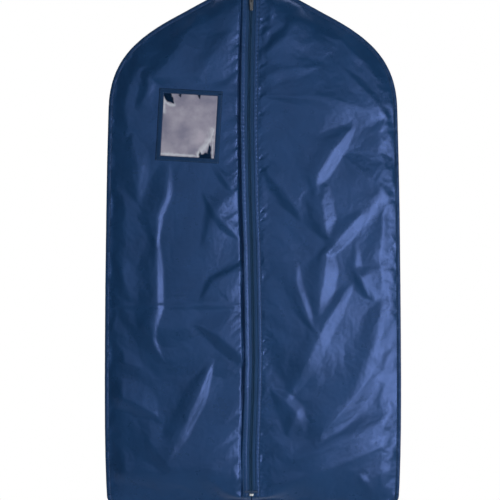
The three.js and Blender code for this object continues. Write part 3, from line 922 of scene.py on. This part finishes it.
def add_seams():
    """The five edge seams with their topstitching, from the neck down both sides and along the hem."""
    lengths = arc_lengths(OUTLINE)
    shoulder_end = lengths[np.argmin(np.abs(OUTLINE - SHOULDER_FOOT).sum(axis=1))]
    corner = lengths[np.argmin(np.abs(OUTLINE - CORNER_TOP).sum(axis=1))]
    made = []
    for side, name in SIDES:
        for part, low, high in (("shoulder", 0, shoulder_end), ("side", shoulder_end, corner)):
            line, along = half_of_outline(low, high)
            piece = swept(f"{part}_edge_{name}", seam_rings(line, along, side))
            made.append(finish_piece(piece, "seam", f"{part}_seam_{name}"))
            made.append(sewn(f"{part}_topstitch_{name}", [seam_stitches(line, side)]))
    line, along = half_of_outline(corner, lengths[-1])
    rings = seam_rings(line, along, 1) + seam_rings(line, along, -1)[-2::-1]
    made.append(finish_piece(swept("hem_edge", rings), "seam", "bottom_seam"))
    made.append(sewn("hem_topstitch", [seam_stitches(line, side) for side in (1, -1)]))
    return made


# Zip


def strip_path(side, u, z, out):
    """A line down the bag at a distance u from the zip, standing out by out from the strip's face."""
    return np.stack([zip_x(z) + side * u, strip_face(side, u, z) - out, z], axis=1)


TAPE_THICK = 0.0007


def tape(side, name):
    """A woven tape with fine ribs along it. It runs on into the hem."""
    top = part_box(f"zipper_tape_{name}")[1].z
    z = np.concatenate([np.arange(top, ZIP_FOOT, -0.004), np.arange(ZIP_FOOT, HEM + 0.006, -0.001)])
    ribs = np.linspace(0.0007, TAPE_HALF, 27)
    heights = [0.00012 * (k % 2) + 0.00024 * (k % 4 == 0) for k in range(len(ribs))]
    fronts = [strip_path(side, u, z, height) for u, height in zip(ribs, heights)]
    backs = [strip_path(side, u, z, -TAPE_THICK) for u in ribs[::4]]
    piece = swept(f"woven_tape_{name}", np.stack(fronts + backs[::-1], axis=1))
    finish_piece(piece, "zip_tape", f"zipper_tape_{name}")


COIL_PITCH = 0.0016
COIL_WIRE = 0.00036
COIL_POINTS = 10
WIRE_SIDES = 5


def coil(side, name):
    """A nylon wire wound along the edge of the tape, a flattened loop for every tooth."""
    low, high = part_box(f"zipper_coil_{name}")
    inner, outer = 0.0002, COIL_HALF
    turns = (high.z - low.z) / COIL_PITCH
    t = np.arange(0, turns, 1 / COIL_POINTS)
    angle = t * 2 * math.pi
    z = high.z - t * COIL_PITCH - (0 if side < 0 else COIL_PITCH / 2)
    z = np.clip(z + 0.0002 * np.sin(angle), low.z, high.z)
    u = (inner + outer) / 2 + (outer - inner) / 2 * np.cos(angle)
    half_depth = (TAPE_FACE - COIL_FACE) / 2 - COIL_WIRE
    y = TAPE_FACE - half_depth - COIL_WIRE - half_depth * np.sin(angle)
    path = np.stack([zip_x(z) + side * u, y, z], axis=1)
    along = directions(path)
    across = np.cross(along, (0, 0, 1.0))
    across /= np.linalg.norm(across, axis=1)[:, None]
    third = np.cross(along, across)
    turn = np.arange(WIRE_SIDES) * 2 * math.pi / WIRE_SIDES
    ring = across[:, None] * np.cos(turn)[:, None] + third[:, None] * np.sin(turn)[:, None]
    piece = swept(f"coil_{name}", path[:, None] + ring * COIL_WIRE)
    finish_piece(piece, "zip_coil", f"zipper_coil_{name}")


def zip_stitches(side, name):
    """Two rows down the folded edge of the cloth, and a row down the coil."""
    z = np.arange(-0.006, HEM_STITCH + 0.010, -0.002)
    rows = [
        stitch_row(strip_path(side, u, z, out), (0, -1, 0), STITCH_PITCH)
        for u, out in ((INNER_STITCH, 0.0008), (OUTER_STITCH, 0.0006))
    ]
    sewn(f"zip_topstitch_{name}", rows)
    z = np.arange(-0.021, ZIP_FOOT, -0.002)
    row = stitch_row(strip_path(side, 0.0021, z, TAPE_FACE - COIL_FACE), (0, -1, 0), 0.0032)
    sewn(f"coil_stitch_{name}", [row], 0.0027, 0.0003)


def rounded_box(low, high, radius):
    """Vertices and faces of a box with rounded edges."""
    work = bmesh.new()
    size = high - low
    place = Matrix.Translation((low + high) / 2) @ Matrix.Diagonal((*size, 1))
    bmesh.ops.create_cube(work, size=1, matrix=place)
    bmesh.ops.bevel(work, geom=work.edges[:], offset=radius, segments=3, affect="EDGES", profile=0.6)
    vertices = [tuple(v.co) for v in work.verts]
    faces = [[v.index for v in f.verts] for f in work.faces]
    work.free()
    return vertices, faces


def combined(name, parts):
    """One object from several lists of vertices and faces."""
    vertices, faces = [], []
    for part_vertices, part_faces in parts:
        first = len(vertices)
        vertices.extend(part_vertices)
        faces.extend([[first + k for k in face] for face in part_faces])
    return mesh_object(name, vertices, faces)


def clamp(name, node, ridges):
    """A crimped metal stop: a bent plate with two feet that grip the zip."""
    low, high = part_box(node)
    middle = (low.z + high.z) / 2
    foot = (high.x - low.x) * 0.24
    plate_back = low.y + 0.0009
    parts = [rounded_box(low, Vector((high.x, plate_back, high.z)), 0.0004)]
    for x0, x1 in ((low.x, low.x + foot), (high.x - foot, high.x)):
        parts.append(rounded_box(Vector((x0, low.y + 0.0003, low.z)), Vector((x1, high.y, high.z)), 0.0003))
    for k in range(ridges):
        z = middle + (k - (ridges - 1) / 2) * 0.0015
        start = Vector((low.x + foot, low.y - 0.0002, z - 0.0003))
        parts.append(rounded_box(start, Vector((high.x - foot, low.y + 0.0006, z + 0.0003)), 0.0002))
    finish_piece(combined(name, parts), "stops", node)


def bar_tack():
    """Threads packed side by side across the foot of the zip, leaning to and fro."""
    low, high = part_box("zipper_bar_tack")
    count = 42
    xs = np.linspace(low.x + 0.0006, high.x - 0.0006, count)
    tilt = np.where(np.arange(count) % 2 == 0, 0.14, -0.14)
    z = np.full(count, (low.z + high.z) / 2)
    side = np.sign(xs - ZIP_X)
    face = np.array([strip_face(s, abs(x - ZIP_X), zz) for s, x, zz in zip(side, xs, z)])
    y = np.minimum(face - 0.0013, COIL_FACE - 0.0002 + 0.0012 * smooth(np.abs(xs - ZIP_X), 0.004, 0.009))
    centres = np.stack([xs, y, z], axis=1)
    along = np.stack([tilt, np.zeros(count), np.ones(count)], axis=1)
    along /= np.linalg.norm(along, axis=1)[:, None]
    out = np.broadcast_to((0, -1.0, 0), centres.shape)
    piece = stitches("bar_tack", centres, along, out, high.z - low.z + 0.0008, 0.00042)
    finish_piece(piece, "thread", "zipper_bar_tack")


# Slider, its bridge and the pull, drawn flat and given a thickness with rounded edges

SHARP_ANGLE = math.radians(35)


def flat_plate(name, loops, front, back, bevel):
    """A plate with this outline and these holes, between two depths. loops hold (x, z) points."""
    curve = bpy.data.curves.new(name, "CURVE")
    curve.dimensions = "2D"
    curve.fill_mode = "BOTH"
    curve.extrude = (back - front) / 2 - bevel
    curve.bevel_depth = bevel
    curve.bevel_resolution = 3
    for loop in loops:
        spline = curve.splines.new("POLY")
        spline.points.add(len(loop) - 1)
        for point, (x, z) in zip(spline.points, loop):
            point.co = (x, z, 0, 1)
        spline.use_cyclic_u = True
    drawn = bpy.data.objects.new(name, curve)
    bpy.context.scene.collection.objects.link(drawn)
    bpy.context.view_layer.update()
    graph = bpy.context.evaluated_depsgraph_get()
    mesh = bpy.data.meshes.new_from_object(drawn.evaluated_get(graph))
    bpy.data.objects.remove(drawn)
    place = Matrix.Translation((0, (front + back) / 2, 0)) @ Matrix.Rotation(math.pi / 2, 4, "X")
    mesh.transform(place)
    vertices = [tuple(v.co) for v in mesh.vertices]
    faces = [list(f.vertices) for f in mesh.polygons]
    bpy.data.meshes.remove(mesh)
    return vertices, faces


def arc(centre, radius, start, end, count):
    """Points on an arc, by angles in degrees. Zero points right and ninety up."""
    angles = np.radians(np.linspace(start, end, count))
    return [(centre[0] + radius * math.cos(a), centre[1] + radius * math.sin(a)) for a in angles]


def slider():
    low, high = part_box("slider_body")
    x = (low.x + high.x) / 2
    half = (high.x - low.x) / 2
    lobe = 0.0026
    bevel = 0.0003
    plan = (
        arc((x + half - lobe - bevel, high.z - lobe - bevel), lobe, -20, 110, 9)
        + arc((x, high.z - 0.0011), 0.0011, 0, -180, 7)
        + arc((x - half + lobe + bevel, high.z - lobe - bevel), lobe, 70, 200, 9)
        + arc((x - 0.0010, low.z + 0.0023), 0.0020, 200, 270, 6)
        + arc((x + 0.0010, low.z + 0.0023), 0.0020, 270, 340, 6)
    )
    front_back = low.y + 0.0014
    parts = [flat_plate("front_plate", [plan], low.y, front_back, bevel)]
    parts.append(flat_plate("back_plate", [plan], high.y - 0.0012, high.y, bevel))
    neck = arc((x, high.z - 0.0030), 0.0011, 0, 340, 12)
    parts.append(flat_plate("neck", [neck], front_back - 0.0004, high.y - 0.0009, 0.0001))
    for side in (-1, 1):
        rail = [
            (x + side * (half - 0.0013), high.z - 0.0040),
            (x + side * (half - 0.0003), high.z - 0.0040),
            (x + side * 0.0033, low.z + 0.0030),
            (x + side * 0.0025, low.z + 0.0030),
        ]
        parts.append(flat_plate("rail", [rail[::side]], front_back - 0.0004, front_back + 0.0005, 0.00015))
    piece = finish_piece(combined("slider_plates", parts), "slider", "slider_body", body="slider")
    piece.data.set_sharp_from_angle(angle=SHARP_ANGLE)

    low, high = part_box("slider_bridge")
    pivot_z = (low.z + high.z) / 2
    radius = (high.z - low.z) / 2 - 0.00065
    angles = np.radians(np.linspace(-35, 215, 22))
    rings = []
    for a in angles:
        spread = 1 + 0.25 * abs(math.cos(a))
        depth = low.y + 0.0030 - radius * max(math.sin(a), -0.6)
        centre = Vector((x, depth, pivot_z + radius * math.cos(a)))
        outward_way = Vector((0, -math.sin(a), math.cos(a)))
        ring = []
        for turn in np.radians(np.arange(0, 360, 36)):
            wide = 0.00105 * spread * math.copysign(abs(math.cos(turn)) ** 0.6, math.cos(turn))
            thick = 0.00062 * math.copysign(abs(math.sin(turn)) ** 0.6, math.sin(turn))
            ring.append(centre + Vector((wide, 0, 0)) + outward_way * thick)
        rings.append([tuple(p) for p in ring])
    finish_piece(swept("bridge_arch", rings), "slider", "slider_bridge", body="slider")


def pull():
    """A pull with an eye for the bridge, a long raised rim and a shallow dish inside it."""
    low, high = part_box("pull_tab")
    x = (low.x + high.x) / 2
    eye_half = (high.x - low.x) / 2
    foot_half = eye_half * 6.6 / 8.2
    bevel = 0.0003

    def outline(shrink, top, bottom):
        eye = eye_half - bevel - shrink
        foot = foot_half - bevel - shrink
        return (
            arc((x + eye - 0.0022, top - 0.0022), 0.0022, 0, 90, 6)
            + arc((x - eye + 0.0022, top - 0.0022), 0.0022, 90, 180, 6)
            + arc((x - foot + 0.0026, bottom + 0.0026), 0.0026, 180, 270, 7)
            + arc((x + foot - 0.0026, bottom + 0.0026), 0.0026, 270, 360, 7)
        )

    outer = outline(0, high.z - bevel, low.z + bevel)
    eye = [(x - 0.0021, high.z - 0.0018), (x - 0.0021, high.z - 0.0050)]
    eye += [(x + 0.0021, high.z - 0.0050), (x + 0.0021, high.z - 0.0018)]
    dish = outline(0.0011, high.z - 0.0072, low.z + 0.0016)
    middle = (low.y + high.y) / 2
    parts = [flat_plate("plate", [outer, eye], middle - 0.00042, middle + 0.00042, 0.0002)]
    parts.append(flat_plate("rim", [outer, eye, dish[::-1]], low.y, high.y, bevel))
    piece = finish_piece(combined("pull_plate", parts), "slider", "pull_tab", body="pull")
    piece.data.set_sharp_from_angle(angle=SHARP_ANGLE)


# Bound neck and the window's pieces, laid on the settled cloth


def surface_of(piece):
    """A tree for finding points on the surface of a piece."""
    vertices = [v.co for v in piece.data.vertices]
    return BVHTree.FromPolygons(vertices, [p.vertices for p in piece.data.polygons])


def laid(tree, points, out, toward=-1):
    """Points of the bag's plane carried to a surface, standing out from it."""
    found = []
    for (x, z), extra in zip(points, np.broadcast_to(out, len(points))):
        hit = tree.ray_cast(Vector((x, toward * 0.2, z)), Vector((0, -toward, 0)))[0]
        hit = hit or tree.find_nearest(Vector((x, toward * 0.02, z)))[0]
        found.append((x, hit.y + toward * extra, z))
    return np.array(found)


NECK_SECTION = (
    (0.0004, 0.0), (0.0003, 0.0008), (-0.0012, 0.0013), (-0.0045, 0.0014), (-0.0072, 0.0012),
    (-0.0081, 0.0007),
)
NECK_STITCH = -0.0066
NECK_HALF = 0.0415
NECK_SPREAD = 0.0149


def neck_binding(name, x_from, x_to, toward, tree):
    """A tape folded over one part of the neck's raw edge, with one row of stitches through it."""
    node = f"neck_binding_{name}"
    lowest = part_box(node)[0].z
    count = max(4, round(abs(x_to - x_from) / 0.002))
    ripple = 0.0002 * noise_along(np.linspace(x_from, x_to, count), 0.006, 8.8)

    def across(k, z):
        """Where the k-th place along the neck is at this height: the neck widens down to its corners."""
        narrower = NECK_SPREAD * (1 - z / lowest)
        ends = [x - math.copysign(narrower, x) if abs(x) == NECK_HALF else x for x in (x_from, x_to)]
        return ends[0] + (ends[1] - ends[0]) * k / (count - 1)

    def depth_of(x, z):
        return laid(tree, [(x, z)], 0.0, toward)[0][1]

    rings = []
    for k, r in enumerate(ripple):
        ring = []
        for way in (-1, 1):
            side_points = []
            for z, half in NECK_SECTION:
                x = across(k, max(z, lowest))
                side_points.append((x, depth_of(x, min(z, -0.0004)) + way * half - r, z))
            ring += side_points if way < 0 else side_points[:0:-1]
        rings.append(ring)
    finish_piece(swept(f"neck_edge_{name}", rings), "binding", node)
    rows = []
    line = [(across(k, NECK_STITCH), NECK_STITCH) for k in range(count)]
    for out in (-1, 1):
        path = np.array([(x, depth_of(x, z) + out * 0.00125 - r, z) for (x, z), r in zip(line, ripple)])
        rows.append(stitch_row(path, (0, out, 0), 0.003))
    sewn(f"neck_edge_{name}_stitch", rows, 0.0023, 0.0003)


STRIP_SECTION = (
    (-1, 0.0002), (-0.97, 0.0009), (-0.75, 0.0013), (-0.3, 0.0014),
    (0.3, 0.0014), (0.75, 0.0013), (0.97, 0.0009), (1, 0.0002),
)


def window_strip(name, start, end, seed, tree):
    """A flat binding from start to end, in the window's own directions, with rounded edges."""
    start, end = np.array(start), np.array(end)
    length = np.linalg.norm(end - start)
    count = round(length / 0.003)
    line = start + (end - start) * np.linspace(0, 1, count)[:, None]
    along = (end - start) / length
    across = np.array([-along[1], along[0]]) * BINDING_WIDTH / 2
    puff = 1 + 0.30 * noise_along(np.linspace(0, length, count), 0.007, seed)
    columns = []
    for place, height in STRIP_SECTION:
        points = line + across * place
        columns.append(laid(tree, window_point(points[:, 0], points[:, 1]), height * puff))
    backs = [column + (0, 0.0006, 0) for column in (columns[0], columns[-1])]
    piece = swept(f"window_binding_{name}", np.stack(columns + backs[::-1], axis=1))
    return finish_piece(piece, "binding", f"id_binding_{name}")


def window_stitches(tree):
    """One line of stitches near each edge of the four bindings."""
    rows = []
    for shift in (-0.0036, 0.0034):
        a, d = WINDOW_ARM + shift
        corners = np.array([(-a, -d), (a, -d), (a, d), (-a, d), (-a, -d)])
        for start, end in zip(corners[:-1], corners[1:]):
            line = start + (end - start) * np.linspace(0, 1, 40)[:, None]
            path = laid(tree, window_point(line[:, 0], line[:, 1]), 0.0014)
            rows.append(stitch_row(path, (0, -1, 0), STITCH_PITCH))
    return sewn("window_stitch", rows)


# Where the film clings to the cloth behind it, dips and is painted a dark shade: corners of ragged patches,
# as shares of the clear size from its lower left corner

CLING_AND_SHADE_PATCHES = (
    (
        (-0.1, 1.1), (0.125, 1.1), (0.150, 0.985), (0.205, 0.835), (0.130, 0.860), (0.055, 0.880),
        (0.020, 0.925),
    ),
    (
        (0.690, -0.1), (0.715, 0.040), (0.728, 0.110), (0.765, 0.060), (0.830, 0.075), (0.868, 0.080),
        (0.893, 0.225), (0.925, 0.180), (0.940, 0.060), (0.965, -0.1),
    ),
    ((0.275, 1.1), (0.285, 0.975), (0.305, 0.945), (0.325, 0.960), (0.335, 1.1)),
    ((0.625, 1.1), (0.635, 0.965), (0.668, 0.928), (0.682, 0.945), (0.665, 1.1)),
)
# Lines along which the film is given a painted highlight: points as shares of the clear size, and a width.
PAINTED_SHINE_LINES = (
    (((0.965, 0.440), (0.900, 0.270), (0.800, 0.150), (0.690, 0.040)), 0.085),
    (((0.015, 0.940), (0.045, 0.850), (0.110, 0.825), (0.205, 0.815)), 0.040),
    (((0.020, 0.900), (0.015, 0.700)), 0.045),
    (((0.960, 0.300), (0.962, 0.000)), 0.022),
    (((0.000, 0.030), (0.300, 0.030), (0.700, 0.020)), 0.040),
)


def cling_and_shade_mask(u, v):
    """From 0 where the film stands off the cloth to 1 where it clings and is given its painted shade."""
    points = np.stack([u, v], axis=1)
    ragged = 0.022 * wave_noise(points, (0.030, 0.060), 12.2) + 0.008 * wave_noise(points, 0.012, 3.9)
    depth = np.full(len(points), -1.0)
    for corners in CLING_AND_SHADE_PATCHES:
        loop = np.array(corners)
        distance = line_distance(points, np.concatenate([loop, loop[:1]]))[0]
        depth = np.maximum(depth, np.where(inside(points, loop), distance, -distance))
    return smooth(depth + ragged, -0.006, 0.006)


def painted_shine(u, v):
    """From 0 to 1 along the lines where the film is pulled tight and is given a painted highlight."""
    points = np.stack([u, v], axis=1)
    ragged = 1 + 0.9 * wave_noise(points, 0.06, 8.4) + 0.4 * wave_noise(points, 0.02, 5.5)
    spread = 0.5 * np.clip(ragged, 0.2, 2)
    return np.maximum.reduce(
        [
            np.exp(-((line_distance(points, np.array(line))[0] / (width * spread)) ** 2))
            for line, width in PAINTED_SHINE_LINES
        ]
    )


def film(tree):
    """A clear film with slow waves, which dips where it clings and lies low under the bindings."""
    columns, rows = 110, 126
    a, d = np.meshgrid(np.linspace(-0.5, 0.5, columns), np.linspace(-0.5, 0.5, rows))
    a, d = a.ravel(), d.ravel()
    flat = window_point(a * FILM_SIZE[0], d * FILM_SIZE[1])
    u = a * FILM_SIZE[0] / CLEAR_SIZE[0] + 0.5
    v = 0.5 - d * FILM_SIZE[1] / CLEAR_SIZE[1]
    cling_and_painted_shade = cling_and_shade_mask(u, v)
    wave = 0.0007 * wave_noise(flat, (0.030, 0.045), 6.1) + 0.0002 * wave_noise(flat, 0.012, 9.4)
    height = 0.0009 + 0.7 * wave - 0.0005 * cling_and_painted_shade
    covered = np.maximum(np.abs(u - 0.5), np.abs(v - 0.5)) > 0.5
    height = np.clip(np.where(covered, 0.0004, height), 0.0004, 0.0030)
    piece = grid_sheet("card_window_film", laid(tree, flat, height).reshape(rows, columns, 3))
    facing(piece, (0, -1, 0))
    # These masks carry the painted shade where the film clings and the painted highlight along the taut
    # lines.
    for name, values in (("cling_and_painted_shade", cling_and_painted_shade), ("painted_shine", painted_shine(u, v))):
        attribute = piece.data.attributes.new(name, "FLOAT", "POINT")
        attribute.data.foreach_set("value", values.astype(np.float32))
    return finish_piece(piece, "vinyl", "id_window_film")


def add_window(panel):
    tree = surface_of(panel)
    sheet = film(tree)
    a, d = WINDOW_ARM
    full = a + BINDING_WIDTH / 2
    made = [
        window_strip("top", (-full, -d), (full, -d), 24.3, tree),
        window_strip("bottom", (-full, d), (full, d), 46.3, tree),
        window_strip("left", (-a, -d), (-a, d), 12.3, tree),
        window_strip("right", (a, -d), (a, d), 27.3, tree),
        window_stitches(tree),
    ]


# Camera, light and surroundings

VIEW_CENTRE = Vector((-0.006, 0, -0.5425))
VIEW_WIDTH = 1.0235
CAMERA_DISTANCE = 3.2
SENSOR = 0.036
FLOOR = -1.5


def add_camera():
    data = bpy.data.cameras.new("camera")
    data.sensor_width = SENSOR / MM
    data.lens = SENSOR / MM * CAMERA_DISTANCE / VIEW_WIDTH
    camera = bpy.data.objects.new("camera", data)
    bpy.context.scene.collection.objects.link(camera)
    camera.location = VIEW_CENTRE + Vector((0, FRONT_FACE - CAMERA_DISTANCE, 0))
    camera.rotation_euler = (math.pi / 2, 0, 0)
    bpy.context.scene.camera = camera


def add_softbox(name, place, target, size, power, colour):
    data = bpy.data.lights.new(name, "AREA")
    data.shape = "RECTANGLE"
    data.size, data.size_y = size
    data.energy = power
    data.color = colour
    lamp = bpy.data.objects.new(name, data)
    bpy.context.scene.collection.objects.link(lamp)
    lamp.location = place
    lamp.rotation_euler = (Vector(target) - Vector(place)).to_track_quat("-Z", "Y").to_euler()
    lamp.visible_camera = False


def add_world():
    world = bpy.data.worlds.new("studio")
    bpy.context.scene.world = world
    world.use_nodes = True
    nodes, links = world.node_tree.nodes, world.node_tree.links
    light = nodes["Background"]
    light.inputs["Color"].default_value = (0.80, 0.90, 1.0, 1)
    light.inputs["Strength"].default_value = 0.12
    seen = nodes.new("ShaderNodeBackground")
    seen.inputs["Color"].default_value = (1, 1, 1, 1)
    seen.inputs["Strength"].default_value = 1.0
    rays = nodes.new("ShaderNodeLightPath")
    mix = nodes.new("ShaderNodeMixShader")
    links.new(rays.outputs["Is Camera Ray"], mix.inputs["Fac"])
    links.new(light.outputs["Background"], mix.inputs[1])
    links.new(seen.outputs["Background"], mix.inputs[2])
    links.new(mix.outputs["Shader"], nodes["World Output"].inputs["Surface"])


def add_floor():
    look = Look("pale_floor")
    tones = look.ramp(look.noise(6, 4), (0.3, (0.80, 0.80, 0.79)), (0.7, (0.84, 0.84, 0.83)))
    half = 2.2
    corners = [(-half, -half, FLOOR), (half, -half, FLOOR), (half, half, FLOOR), (-half, half, FLOOR)]
    floor = mesh_object("floor", corners, [(0, 1, 2, 3)])
    floor.data.materials.append(look.finished(tones, Roughness=0.7))


LIT = (0.02, 0, -0.55)
LIGHTS = (
    ("key", (1.45, -2.6, -1.22), LIT, (0.80, 2.3), 48, (1, 0.98, 0.97)),
    ("fill", (-0.1, -3.9, -0.1), LIT, (2.4, 2.4), 14.5, (0.88, 0.96, 1)),
    ("edge", (2.2, -2.2, -1.05), LIT, (0.7, 1.5), 15, (1, 0.98, 0.97)),
    ("back", (-1.2, 2.9, 0.3), LIT, (1.5, 1.8), 46, (1, 0.99, 0.97)),
    ("top", (0.1, 0.9, 1.7), (0.1, 0.9, FLOOR), (3.2, 2.0), 44, (0.96, 0.98, 1)),
)

add_camera()
add_world()
add_floor()
bpy.context.scene.view_settings.view_transform = "Standard"
for light in LIGHTS:
    add_softbox(*light)

left, left_area = front_panel(-1, "left")
right, right_area = front_panel(1, "right")
back, back_area = back_panel()
edges = add_seams()
for side, name in SIDES:
    tape(side, name)
    coil(side, name)
    clamp(f"upper_stop_{name}", f"top_stop_{name}", 0)
for side, name in SIDES:
    zip_stitches(side, name)
clamp("lower_stop", "bottom_stop", 1)
bar_tack()
slider()
pull()
add_window(left)
neck_binding("left", -NECK_HALF, ZIP_X - FOLD - 0.0005, -1, surface_of(left))
neck_binding("right", ZIP_X + FOLD + 0.0005, NECK_HALF, -1, surface_of(right))
neck_binding("back", -NECK_HALF, NECK_HALF, 1, surface_of(back))
